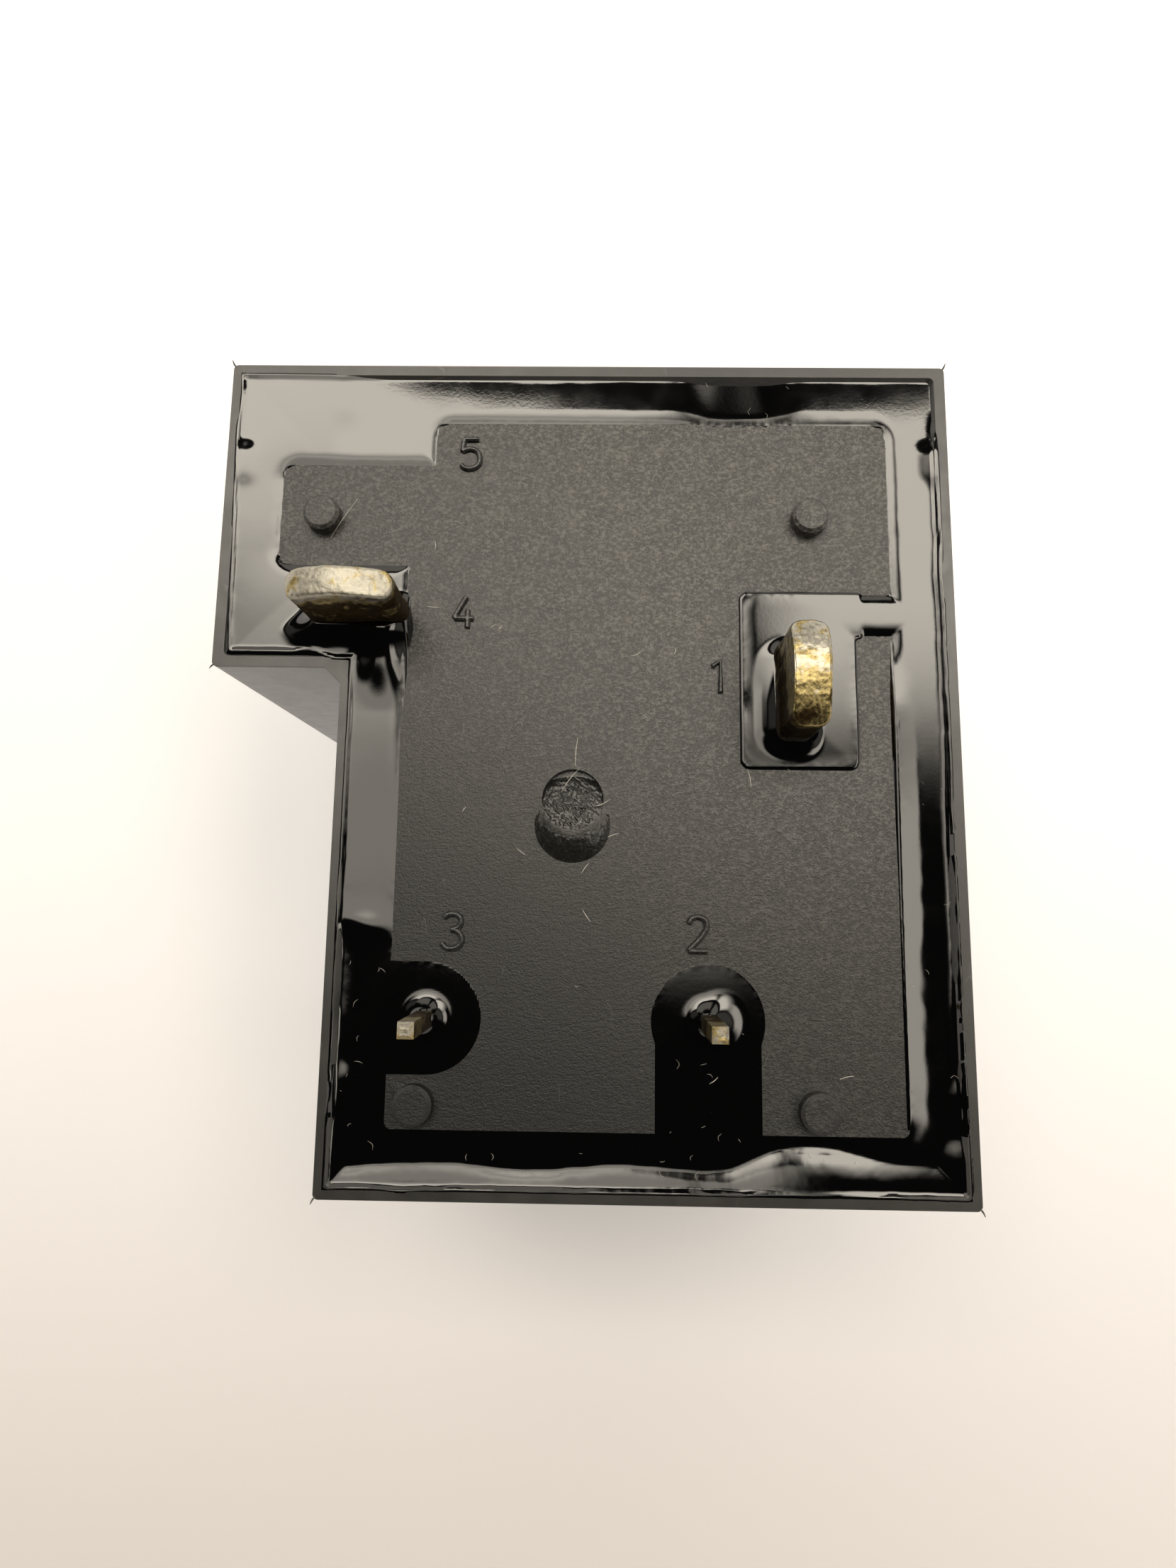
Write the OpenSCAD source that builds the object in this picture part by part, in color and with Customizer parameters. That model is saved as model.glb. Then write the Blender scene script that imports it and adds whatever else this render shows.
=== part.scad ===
// Sealed power relay for a printed board, normally open, 28 x 31.5 x 20 mm.
// It lies on the flat top of its case, with the terminals pointing up.
// X runs across the case, Y along it with the contact end at +Y, Z from the
// flat top of the case (z = 0) to the terminal side.  Millimetres.

/* [Case] */
// Width across the contact end
case_w = 28.2; // [27:0.1:31]
// Length along Y
case_l = 31.5; // [30.5:0.1:35]
// Height from the flat top to the rim
case_h = 20; // [18.5:0.1:26]
// Length of the wide contact end
lobe_l = 12.4; // [12:0.1:14]
// How far the narrow coil end is set in at the left
notch_w = 4.95; // [4:0.05:5.2]
// Wall of the case
wall = 1.0; // [0.8:0.05:1.2]
// Thickness of the flat top
roof = 1.0; // [0.8:0.05:1.4]
// Flat land left on the rim outside the lead-in
rim_land = 0.42; // [0.3:0.01:0.6]
// Depth of the lead-in inside the rim
rim_lead = 0.7; // [0.4:0.05:0.9]
// Rounding of the outer corners and of the edge round the flat top
case_r = 0.2; // [0.1:0.05:0.7]
// Web in the inner corner of the notch
notch_web = 0.65; // [0.3:0.05:1.2]
// Length of a catch pocket along the side wall
catch_l = 1.8; // [1.2:0.1:2.6]
// Depth of a catch pocket into the wall
catch_d = 0.6; // [0.4:0.05:0.62]

/* [Base] */
// Gap between the base and the case wall
base_fit = 0.08; // [0.05:0.01:0.15]
// Raised plate set in from the outside of the case
plate_inset = 2.35; // [1.9:0.01:2.6]
// Top of the raised plate below the rim
plate_drop = 0.2; // [0.15:0.01:0.25]
// Height of the raised plate above the flange
plate_h = 1.2; // [1:0.05:1.8]
// Thickness of the flange of the base
flange_t = 1.0; // [0.8:0.05:1.4]
// Corner rounding of the raised plate
plate_r = 0.25; // [0.1:0.05:0.5]
// Diameter of a stand-off nub
nub_d = 1.4; // [1:0.05:1.8]
// Height of a stand-off nub above the plate
nub_h = 0.6; // [0.4:0.05:1.2]
// Width of the resin pocket round the common terminal
pocket_w = 4.2; // [3.6:0.05:4.6]
// Length of the resin pocket round the common terminal
pocket_l = 6.7; // [6.2:0.05:7.2]
// Width of the side slot that feeds that pocket
feed_w = 1.62; // [1:0.01:2.4]
// Diameter of the well round a coil pin
well_d = 4.0; // [3:0.05:4.4]
// Width of the inner corner step of the raised plate
step_w = 6; // [5:0.05:6.2]
// Depth of that step
step_l = 1.78; // [1:0.01:2.4]
// Length of the raised plate beside the normally open blade
lobe_plate = 4.14; // [3:0.01:4.3]
// Width of the ledge along the left side of the coil end
ledge_w = 0.62; // [0.3:0.01:0.8]
// Length of that ledge
ledge_l = 6.1; // [4:0.1:7]
// Depth of that ledge below the raised plate
ledge_drop = 0.07; // [0.02:0.01:0.12]
// Diameter of the melted vent plug
vent_d = 2.8; // [2:0.05:3.4]
// Depth of the vent hollow, and height of the melted plug beside it
vent_deep = 0.35; // [0.2:0.05:0.6]

/* [Resin] */
// Level of the resin below the rim
resin_drop = 0.32; // [0.27:0.01:0.45]
// How far the resin creeps up what it touches
creep = 0.2; // [0.1:0.01:0.25]
// Width of that creep on the level
creep_w = 0.4; // [0.2:0.05:0.8]
// How far the resin climbs a terminal
climb = 0.7; // [0.4:0.05:0.9]
// Width of the foot of that climb
climb_w = 0.8; // [0.4:0.05:1]

/* [Terminals] */
// Standing height of the terminals above the raised plate
pin_h = 3.45; // [3:0.05:5]
// Width of the two load blades
blade_w = 3.7; // [3:0.05:4]
// Thickness of the common blade
common_t = 1.25; // [0.8:0.05:1.4]
// Thickness of the normally open blade
open_t = 1.0; // [0.8:0.05:1.2]
// Drop of the rounded blade tip towards its ends
blade_crown = 0.5; // [0.2:0.05:0.8]
// Rounding of the blade ends
blade_r = 0.4; // [0.1:0.05:0.45]
// Side of the square coil pins
coil_pin = 0.55; // [0.4:0.05:0.8]
// Distance between the two coil pins
pin_pitch = 10.16; // [10:0.01:10.6]
// Coil pins from the coil end of the case
pin_from_end = 6.2; // [6:0.05:6.5]
// First coil pin from the left wall of the coil end
pin_from_side = 3.68; // [3.5:0.01:3.9]
// Common blade to the right of the first coil pin
common_across = 13.37; // [13.2:0.01:13.6]
// Common blade from the contact end of the case
common_from_end = 13.2; // [12.9:0.05:13.4]
// Normally open blade to the left of the first coil pin
open_across = 3.08; // [2.8:0.01:3.3]
// Normally open blade from the contact end of the case
open_from_end = 10.2; // [9.9:0.05:10.25]
// Gap round a terminal in its slot
slot_fit = 0.05; // [0.03:0.01:0.1]
// Extra width of a blade where it seats under the base
shoulder = 0.5; // [0.2:0.05:0.6]

/* [Coil] */
// Outside diameter of the winding
coil_d = 11.8; // [10:0.1:12]
// Thickness of the tape round the winding
tape_t = 0.15; // [0.1:0.01:0.3]
// How far the square bobbin cheeks stand out past the winding
cheek_lip = 0.7; // [0.6:0.05:0.8]
// Thickness of a bobbin cheek
cheek_t = 1.1; // [0.8:0.05:1.5]
// Wall of the bobbin tube
tube_t = 0.8; // [0.5:0.05:1.2]
// Diameter of the iron core
core_d = 6.0; // [5:0.1:6.6]
// Diameter of the pole face
pole_d = 8.0; // [7:0.1:9]
// Thickness of the pole face
pole_t = 0.8; // [0.6:0.05:1.2]
// Diameter of the core neck staked through the yoke
neck_d = 4.4; // [3.6:0.1:4.8]
// Gap round the core and round rivets
seat_fit = 0.03; // [0.02:0.01:0.05]
// Gap between the bobbin and the yoke
yoke_gap = 0.45; // [0.3:0.05:0.6]
// Thickness of the yoke
yoke_t = 1.5; // [1.2:0.05:1.8]
// Width of the upright leg of the yoke
yoke_w = 10; // [9:0.1:11]
// Width of the yoke foot between the coil pins
foot_w = 8.2; // [7:0.1:8.4]
// Thickness of the coil wire leads
lead_d = 0.24; // [0.15:0.01:0.35]

/* [Armature and contacts] */
// Gap between the flat top of the case and the armature's flat spring
head_room = 1.0; // [0.95:0.05:1.3]
// Thickness of the contact blade
leaf_t = 0.25; // [0.15:0.01:0.3]
// Thickness of the armature
arm_t = 1.3; // [1:0.05:1.6]
// Open gap between armature and pole face
arm_gap = 0.52; // [0.5:0.01:0.7]
// Diameter of a contact
contact_d = 3.2; // [2.6:0.1:3.4]
// Height of a contact
contact_t = 0.8; // [0.5:0.05:1]
// Open gap between the contacts
contact_gap = 1.0; // [0.97:0.01:1.4]
// Diameter of the rivet shanks
shank_d = 1.4; // [1:0.05:1.6]
// Thickness of the return spring
return_t = 0.2; // [0.12:0.01:0.24]
// Width of the return spring
return_w = 5; // [4:0.1:6]
// Outer bend radius of the return spring
return_bend = 0.5; // [0.4:0.05:0.7]
// Height of the head of a rivet
head_t = 0.4; // [0.3:0.05:0.5]
// Gap between the stop and the contact blade at rest
stop_gap = 0.03; // [0.02:0.01:0.1]
// Thickness of the back stop
stop_t = 0.6; // [0.4:0.05:0.75]
// Width of the back stop
stop_w = 3; // [2:0.1:4]
// Thickness of the flat copper braid
braid_t = 0.9; // [0.5:0.05:1.2]
// Width of the flat copper braid
braid_w = 1.8; // [1:0.1:2.1]
// Length of the braid along the common terminal
braid_rise = 6; // [5:0.1:7]

/* [Hidden] */
$fn = 48;
eps = 0.01;

// sides of the outline
x_l = -case_w / 2;
x_r = case_w / 2;
y_t = case_l / 2;
y_b = -case_l / 2;
x_n = x_l + notch_w;
y_n = y_t - lobe_l;

// levels, from the flat top of the case to the terminal tips
z_roof = roof;
z_leaf = z_roof + head_room;
z_arm = z_leaf + leaf_t;
z_hinge = z_arm + arm_t;
z_pole = z_hinge + arm_gap;
z_cheek = z_pole + pole_t;
z_wind = z_cheek + cheek_t;
z_rim = case_h;
z_plate = z_rim - plate_drop;
z_resin = z_rim - resin_drop;
z_flange = z_plate - plate_h;
z_floor = z_flange - flange_t;
z_foot = z_floor - yoke_t;
z_tip = z_plate + pin_h;

// terminals
pin_y = y_b + pin_from_end;
pin_3 = [x_n + pin_from_side, pin_y];
pin_2 = [x_n + pin_from_side + pin_pitch, pin_y];
common = [pin_3[0] + common_across, y_t - common_from_end];
open = [pin_3[0] - open_across, y_t - open_from_end];

// the tip of a blade is an arc over its width
crown_r = (blade_w * blade_w / 4 + blade_crown * blade_crown)
    / (2 * blade_crown);

// raised plate
pl_l = x_l + plate_inset - 0.13;
pl_r = x_r - plate_inset;
pl_t = y_t - plate_inset;
pl_b = y_b + plate_inset;
pl_n = x_n + plate_inset;
step_x = pl_l + step_w;
step_y = pl_t - step_l;
open_edge = step_y - lobe_plate;
open_foot = y_n + 0.42;
pocket_x = common[0] - 1.83;
pocket_y = common[1] - 2.8;

// coil and yoke
cheek = coil_d + 2 * cheek_lip;
pin_inset = 1.2;                           // coil pins in from the cheek
coil = [(pin_3[0] + pin_2[0]) / 2, pin_y + cheek / 2 - pin_inset];
tube_d = core_d + 2 * (seat_fit + tube_t);
yoke_y = coil[1] - cheek / 2 - yoke_gap;   // front of the upright leg
yoke_back = yoke_y - yoke_t;
foot_end = coil[1] + 4.6;
post_z = z_foot - cheek_t - 1;             // inner ends of the coil pins

// armature and contacts
arm_back = yoke_back + return_bend;        // clear of the spring's bend
arm_end = coil[1] + pole_d / 2 + 0.6;
spring_hold = yoke_y + 1.7;                // rivet of the return spring
leaf_back = coil[1] - 1.6;
contact = [open[0] + 1.95, open[1] + 3.85];
z_fixed = z_arm + contact_t + contact_gap; // face of the fixed contact
z_flag = z_fixed + contact_t;
leaf_tip = contact[1] + contact_d / 2 + 0.9;
leaf_side = contact[0] + contact_d / 2 + 0.5;
stop_y = leaf_tip + 0.45;                  // upright of the back stop
stop_root = flange_t * 0.7;                // its foot, set in the base
braid_y = coil[1] + cheek / 2 + 0.3;       // near side of the braid
braid_bend = 1.5;
common_face = common[0] - common_t / 2;
z_braid = z_arm + braid_t / 2;
z_weld = z_braid + braid_rise;

// inset of the lead-in at a height
function lead_at(z) = rim_land + (z_rim - z) * (wall - rim_land) / rim_lead;

// ---- shared shapes ----

// rectangle between two corners with rounded corners
module rounded(x0, y0, x1, y1, r) {
    translate([x0 + r, y0]) square([x1 - x0 - 2 * r, y1 - y0]);
    translate([x0, y0 + r]) square([x1 - x0, y1 - y0 - 2 * r]);
    for (x = [x0 + r, x1 - r], y = [y0 + r, y1 - r])
        translate([x, y]) circle(r);
}

// outline of the case, set in by a distance
module outline(inset, r = case_r) {
    rounded(x_l + inset, y_n + inset, x_r - inset, y_t - inset, r);
    rounded(x_n + inset, y_b + inset, x_r - inset, y_t - inset, r);
}

// block with rounded upright edges and a rounded edge at z = 0
module soft_block(x0, y0, x1, y1, h, r) {
    translate([0, 0, r]) linear_extrude(h - r) rounded(x0, y0, x1, y1, r);
    translate([x0 + r, y0 + r, 0])
        cube([x1 - x0 - 2 * r, y1 - y0 - 2 * r, 2 * r]);
    for (x = [x0 + r, x1 - r]) translate([x, y0 + r, r])
        rotate([-90, 0, 0]) cylinder(r = r, h = y1 - y0 - 2 * r);
    for (y = [y0 + r, y1 - r]) translate([x0 + r, y, r])
        rotate([0, 90, 0]) cylinder(r = r, h = x1 - x0 - 2 * r);
    for (x = [x0 + r, x1 - r], y = [y0 + r, y1 - r])
        translate([x, y, r]) sphere(r);
}

// ring of space that opens from one inset to another over a height
module flare(z, h, from, to) {
    for (left = [[x_l, y_n], [x_n, y_b]])
        hull() {
            translate([0, 0, z]) linear_extrude(eps)
                rounded(left[0] + from, left[1] + from, x_r - from,
                    y_t - from, case_r);
            translate([0, 0, z + h]) linear_extrude(eps)
                rounded(left[0] + to, left[1] + to, x_r - to, y_t - to,
                    case_r);
        }
}

// the four catch places: x side (-1 left, 1 right), wall x, centre y
catches = [[-1, x_l, y_t - 4.1], [1, x_r, y_t - 4.0],
    [-1, x_n, y_b + 3.65], [1, x_r, y_b + 3.35]];

// catch pockets in the wall, opened to the rim
module catch_pockets() {
    for (c = catches)
        translate([c[1] - c[0] * (wall - catch_d / 2), c[2],
            z_floor + case_h / 2])
            cube([catch_d, catch_l, case_h], center = true);
}

// raised plate of the base, seen from the terminal side
module plate_2d() {
    difference() {
        union() {
            rounded(pl_l, open_edge, step_x + 2, step_y, plate_r);
            rounded(step_x, open_foot, pl_r, pl_t, plate_r);
            rounded(pl_n, pl_b, pl_r, open_foot + 4, plate_r);
        }
        // pocket of the common terminal and its feed slot
        rounded(pocket_x, pocket_y, pocket_x + pocket_w,
            pocket_y + pocket_l, plate_r);
        translate([pocket_x + pocket_w - 1,
            pocket_y + pocket_l - feed_w])
            square([case_w, feed_w]);
        // wells of the coil pins, one open to the left, one to the end
        translate(pin_3) circle(d = well_d);
        translate([x_l, pin_3[1] - well_d / 2])
            square([pin_3[0] - x_l, well_d]);
        translate(pin_2) circle(d = well_d + 0.1);
        translate([pin_2[0] - well_d / 2 + 0.1, y_b])
            square([well_d - 0.2, pin_2[1] - y_b]);
    }
}

// ledge beside the plate, along the left side of the coil end
module ledge_2d() {
    rounded(pl_n - ledge_w, y_n - 1.95 - ledge_l, pl_n + 1, y_n - 1.95,
        ledge_w / 2);
}

// section of a load blade, long side along Y
module blade_2d(t, extra = 0, fit = 0) {
    w = blade_w + extra;
    rounded(-t / 2 - fit, -w / 2 - fit, t / 2 + fit, w / 2 + fit,
        blade_r * 0.9);
}

// load blade from its shoulder to the rounded tip, long side along Y
module blade(t, z0, shoulder_to) {
    translate([0, 0, z0]) linear_extrude(z_plate + 0.5 - z0) blade_2d(t);
    intersection() {
        translate([0, 0, z_plate]) linear_extrude(pin_h) blade_2d(t);
        translate([-t, 0, z_tip - crown_r]) rotate([0, 90, 0])
            cylinder(r = crown_r, h = 2 * t, $fn = 96);
    }
    translate([-t / 2, -(blade_w + shoulder) / 2, z0])
        cube([t, blade_w + shoulder, shoulder_to - z0]);
}

// square coil pin with a pointed tip
module square_pin(fit = 0) {
    s = coil_pin + 2 * fit;
    tip = coil_pin * 0.3;
    translate([-s / 2, -s / 2, post_z]) cube([s, s, z_tip - tip - post_z]);
    if (fit == 0)
        hull() {
            translate([-s / 2, -s / 2, z_tip - tip - eps])
                cube([s, s, eps]);
            translate([-s / 4, -s / 4, z_tip - eps])
                cube([s / 2, s / 2, eps]);
        }
}

// rivet along Z: head from z downwards, shank up to z_end
module rivet(z, head_d, head_t, z_end, d = shank_d) {
    translate([0, 0, z - head_t]) cylinder(d = head_d, h = head_t);
    translate([0, 0, z - eps]) cylinder(d = d, h = z_end - z + eps);
}

// ---- case, base and resin ----

module cover() {
    color("#2b2b2c") difference() {
        union() {
            soft_block(x_l, y_n, x_r, y_t, z_rim, case_r);
            soft_block(x_n, y_b, x_r, y_t, z_rim, case_r);
            translate([x_n + eps, y_n + eps, case_r])
                linear_extrude(z_rim - case_r)
                    polygon([[-notch_web, 0], [0, -notch_web], [0, 0]]);
        }
        translate([0, 0, z_roof]) linear_extrude(case_h) outline(wall);
        flare(z_rim - rim_lead, rim_lead, wall, rim_land);
        catch_pockets();
    }
}

module base() {
    color("#3a3a3b") difference() {
        union() {
            translate([0, 0, z_floor]) linear_extrude(flange_t)
                outline(wall + base_fit);
            translate([0, 0, z_floor]) linear_extrude(flange_t + plate_h)
                plate_2d();
            translate([0, 0, z_flange - eps])
                linear_extrude(plate_h - ledge_drop + eps)
                    ledge_2d();
            // catches that snap into the case
            for (c = catches)
                translate([c[1] - c[0] * (wall + base_fit + 0.3), c[2],
                    z_floor])
                    rotate([90, 0, 0])
                        linear_extrude(catch_l - 0.3, center = true)
                            polygon([[0, 0], [c[0] * 0.3, 0],
                                [c[0] * (0.3 + catch_d), flange_t * 0.7],
                                [c[0] * (0.3 + catch_d), flange_t],
                                [0, flange_t]]);
            // vent, melted shut into a low dome
            intersection() {
                translate([vent[0], vent[1],
                    z_plate + vent_deep - vent_ball]) sphere(vent_ball);
                translate([vent[0], vent[1], z_plate - eps])
                    cylinder(d = vent_d, h = 1);
            }
            // stand-off nubs
            for (p = nubs) translate([p[0], p[1], z_plate - eps]) {
                cylinder(d = nub_d, h = nub_h - 0.12 + eps);
                translate([0, 0, nub_h - 0.12])
                    cylinder(d1 = nub_d, d2 = nub_d - 0.24, h = 0.12);
            }
            // ribs that hold the foot of the yoke
            for (s = [-1, 1])
                translate([coil[0] + s * (foot_w / 2 + slot_fit + 0.4) - 0.4,
                    coil[1] - 1, z_floor - 1.2])
                    cube([0.8, 5, 1.2 + eps]);
        }
        // hollow over the vent
        translate([vent[0], vent[1] + vent_d / 3, z_plate - vent_deep])
            cylinder(d = vent_d * 0.82, h = case_h);
        // slots of the terminals
        translate([common[0], common[1], z_floor - 1])
            linear_extrude(case_h) blade_2d(common_t, 0, slot_fit);
        translate([open[0], open[1], z_floor - 1])
            linear_extrude(case_h) rotate(90)
                blade_2d(open_t, 0, slot_fit);
        for (p = [pin_2, pin_3]) translate(p) square_pin(slot_fit);
        translate([0, 0, z_floor - 1])
            linear_extrude(1 + stop_root + slot_fit) stop_2d(slot_fit);
    }
}
nubs = [[open[0] - 1.62, y_t - 6.3], [common[0] + 0.77, y_t - 6.3],
    [pin_3[0] - 0.28, y_b + 3.25], [pin_2[0] + 3.86, y_b + 3.2]];
vent = [coil[0] + 0.1, coil[1] + 1.64];
vent_ball = (vent_d * vent_d / 4 + vent_deep * vent_deep)
    / (2 * vent_deep);

// what stands in the resin: plate, ledge, terminals, foot of the stop
module resin_cores() {
    translate([0, 0, z_floor]) linear_extrude(case_h) plate_2d();
    translate([0, 0, z_floor]) linear_extrude(flange_t + plate_h - ledge_drop)
        ledge_2d();
    translate([common[0], common[1], z_floor]) linear_extrude(case_h)
        blade_2d(common_t);
    translate([open[0], open[1], z_floor]) linear_extrude(case_h)
        rotate(90) blade_2d(open_t);
    for (p = [pin_2, pin_3])
        translate([p[0] - coil_pin / 2, p[1] - coil_pin / 2, z_floor])
            cube([coil_pin, coil_pin, case_h]);
}

module sealing_resin() {
    color("#101011") difference() {
        union() {
            translate([0, 0, z_flange])
                linear_extrude(z_resin - z_flange) outline(wall);
            intersection() {
                catch_pockets();
                translate([x_l, y_b, z_flange])
                    cube([case_w, case_l, z_resin - z_flange]);
            }
            // creep up the lead-in of the rim
            difference() {
                intersection() {
                    flare(z_rim - rim_lead, rim_lead, wall, rim_land);
                    translate([x_l, y_b, z_rim - rim_lead])
                        cube([case_w, case_l,
                            rim_lead - resin_drop + creep]);
                }
                flare(z_resin, creep + eps, lead_at(z_resin) + creep_w,
                    lead_at(z_resin + creep) + 0.06);
            }
            // creep up the terminals
            translate([common[0], common[1], 0])
                blade_creep(common_t);
            translate([open[0], open[1], 0]) rotate(90)
                blade_creep(open_t);
            for (p = [pin_2, pin_3])
                translate([p[0], p[1], z_resin - eps])
                    cylinder(r1 = coil_pin / 2 + 1.2 * climb_w,
                        r2 = coil_pin * 0.75, h = 1.2 * climb);
        }
        resin_cores();
    }
}

// resin drawn up a blade
module blade_creep(t) {
    hull() {
        translate([0, 0, z_resin - eps]) linear_extrude(eps)
            blade_2d(t, 0, climb_w);
        translate([0, 0, z_resin + climb]) linear_extrude(eps)
            blade_2d(t, 0, 0.06);
    }
}

// ---- terminals ----

module common_terminal() {
    color("#b3a079") translate([common[0], common[1], 0])
        blade(common_t, z_weld - braid_t, z_floor);
}

// blade, a wider strip inside, and a flag bent under the fixed contact
module open_terminal() {
    color("#b3a079") difference() {
        union() {
            translate([open[0], open[1], 0]) rotate(90)
                blade(open_t, z_flag + 1, z_floor);
            translate([open[0] - (blade_w + shoulder) / 2,
                open[1] - open_t / 2, z_flag + eps])
                cube([contact[0] + contact_d / 2 + 0.3 - open[0]
                    + (blade_w + shoulder) / 2, open_t, 4]);
            translate([contact[0] - contact_d / 2 - 0.3,
                open[1] - open_t / 2, z_flag])
                cube([contact_d + 0.6, contact[1] + contact_d / 2 + 0.4
                    - open[1] + open_t / 2, open_t]);
        }
        translate([contact[0], contact[1], z_flag - 1])
            cylinder(d = shank_d + 2 * seat_fit, h = open_t + 2);
    }
}

module coil_pin_2() {
    color("#b3a079") translate(pin_2) square_pin();
}

module coil_pin_3() {
    color("#b3a079") translate(pin_3) square_pin();
}

// strip in the place of the unused fifth terminal
module stop_2d(fit = 0) {
    translate([contact[0] - stop_w / 2 - fit, stop_y - fit])
        square([stop_w + 2 * fit, stop_t + 2 * fit]);
}

module back_stop() {
    color("#a08c5a") union() {
        translate([0, 0, z_leaf - stop_gap - stop_t])
            linear_extrude(z_floor + stop_root - z_leaf + stop_gap + stop_t)
                stop_2d();
        translate([contact[0] - stop_w / 2, leaf_tip - stop_t,
            z_leaf - stop_gap - stop_t])
            cube([stop_w, stop_y - leaf_tip + stop_t + eps, stop_t]);
    }
}

// ---- coil ----

module bobbin() {
    color("#d9d4c4") translate([coil[0], coil[1], 0]) difference() {
        union() {
            for (z = [z_cheek, z_foot - cheek_t])
                translate([0, 0, z]) linear_extrude(cheek_t)
                    rounded(-cheek / 2, -cheek / 2, cheek / 2, cheek / 2, 1);
            translate([0, 0, z_cheek])
                cylinder(d = tube_d, h = z_foot - z_cheek);
            // blocks that carry the coil pins
            for (p = [pin_2, pin_3])
                translate([p[0] - coil[0] + (p[0] > coil[0] ? -0.6 : -1.1),
                    p[1] - coil[1] - 0.9, z_foot - eps])
                    cube([1.7, 1.8, yoke_t + eps]);
        }
        translate([0, 0, z_cheek - 1])
            cylinder(d = core_d + 2 * seat_fit, h = case_h);
        for (p = [pin_2, pin_3])
            translate([p[0] - coil[0], p[1] - coil[1], 0])
                square_pin(seat_fit);
    }
}

module coil_winding() {
    color("#b5652a") translate([coil[0], coil[1], z_wind]) difference() {
        cylinder(d = coil_d, h = z_foot - cheek_t - z_wind);
        translate([0, 0, -1]) cylinder(d = tube_d, h = case_h);
    }
}

module coil_tape() {
    color("#c9b24a") translate([coil[0], coil[1], z_wind]) difference() {
        cylinder(d = coil_d + 2 * tape_t, h = z_foot - cheek_t - z_wind);
        translate([0, 0, -1]) cylinder(d = coil_d, h = case_h);
    }
}

// wire ends, drawn from the winding to the inner ends of the coil pins
module coil_leads() {
    reach = norm(pin_2 - coil) - coil_d / 2 - tape_t;
    color("#b5652a") for (p = [pin_2, pin_3])
        translate([coil[0], coil[1], post_z + 0.5])
            rotate(atan2(p[1] - coil[1], p[0] - coil[0]))
                translate([coil_d / 2 + tape_t, 0, 0]) rotate([0, 90, 0])
                    cylinder(d = lead_d, h = reach - coil_pin * 0.7);
}

module core() {
    color("#9a9c9f") translate([coil[0], coil[1], 0]) union() {
        translate([0, 0, z_pole]) cylinder(d = pole_d, h = pole_t);
        translate([0, 0, z_pole])
            cylinder(d = core_d, h = z_foot - z_pole);
        translate([0, 0, z_pole]) cylinder(d = neck_d, h = z_floor - z_pole);
    }
}

// bent iron bracket: foot under the coil, upright leg behind it
module yoke() {
    color("#8d9094") difference() {
        translate([coil[0] + yoke_w / 2, 0, 0]) rotate([0, -90, 0])
            linear_extrude(yoke_w) {
                union() {
                    translate([z_hinge, yoke_back])
                        square([z_floor - z_hinge - yoke_t, yoke_t]);
                    translate([z_foot, yoke_y])
                        square([yoke_t, foot_end - yoke_y]);
                    intersection() {
                        translate([z_foot, yoke_y]) circle(yoke_t);
                        translate([z_foot, yoke_back])
                            square([yoke_t, yoke_t]);
                    }
                }
            }
        // foot narrowed between the coil pins
        for (s = [-1, 1])
            translate([coil[0] + (s > 0 ? foot_w / 2 : -yoke_w),
                yoke_y + 0.3, z_foot - 1])
                cube([yoke_w - foot_w / 2, cheek * 2, yoke_t + 2]);
        translate([coil[0], coil[1], z_foot - 1])
            cylinder(d = neck_d + 2 * seat_fit, h = yoke_t + 2);
        // hole of the spring rivet
        translate([coil[0], yoke_back - 1, spring_z])
            rotate([-90, 0, 0])
                cylinder(d = shank_d + 2 * seat_fit, h = yoke_t + 2);
    }
}
spring_z = z_hinge + 3.6;

// ---- moving group ----

module armature() {
    color("#a5a8ab") difference() {
        translate([coil[0] - yoke_w / 2, arm_back, z_arm])
            cube([yoke_w, arm_end - arm_back, arm_t]);
        for (s = [-1, 1]) translate([coil[0] + s * 2, coil[1] + 0.6, 0])
            cylinder(d = shank_d + 2 * seat_fit, h = case_h);
        translate([coil[0], spring_hold, 0])
            cylinder(d = shank_d + 2 * seat_fit, h = case_h);
        // corners beside the return spring
        for (s = [-1, 1]) translate([coil[0] + s * yoke_w / 2,
            yoke_back, z_arm + arm_t / 2])
            cube([2, 1.2, arm_t + 1], center = true);
    }
}

module contact_blade() {
    color("#c08a4e") translate([0, 0, z_leaf]) difference() {
        linear_extrude(leaf_t) polygon([
            [coil[0] - 3.5, leaf_back], [coil[0] + 3.5, leaf_back],
            [coil[0] + 3.5, braid_y + braid_w + 0.3],
            [leaf_side, contact[1] - contact_d / 2],
            [leaf_side, leaf_tip],
            [contact[0] - contact_d / 2 - 0.5, leaf_tip],
            [contact[0] - contact_d / 2 - 0.5, contact[1] - contact_d / 2],
            [coil[0] - 3.5, braid_y]]);
        for (s = [-1, 1])
            translate([coil[0] + s * 2, coil[1] + 0.6, -1])
                cylinder(d = shank_d + 2 * seat_fit, h = 3);
        translate([contact[0], contact[1], -1])
            cylinder(d = shank_d + 2 * seat_fit, h = 3);
    }
}

// contact rivet: face towards +Z, shank through the blade, closing head
module moving_contact() {
    color("#c9cbd0") translate([contact[0], contact[1], 0]) union() {
        translate([0, 0, z_arm]) cylinder(d = contact_d, h = contact_t);
        translate([0, 0, z_leaf - eps])
            cylinder(d = shank_d, h = leaf_t + 2 * eps);
        translate([0, 0, z_leaf - head_t])
            cylinder(d = shank_d + 2 * head_t, h = head_t);
    }
}

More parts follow.
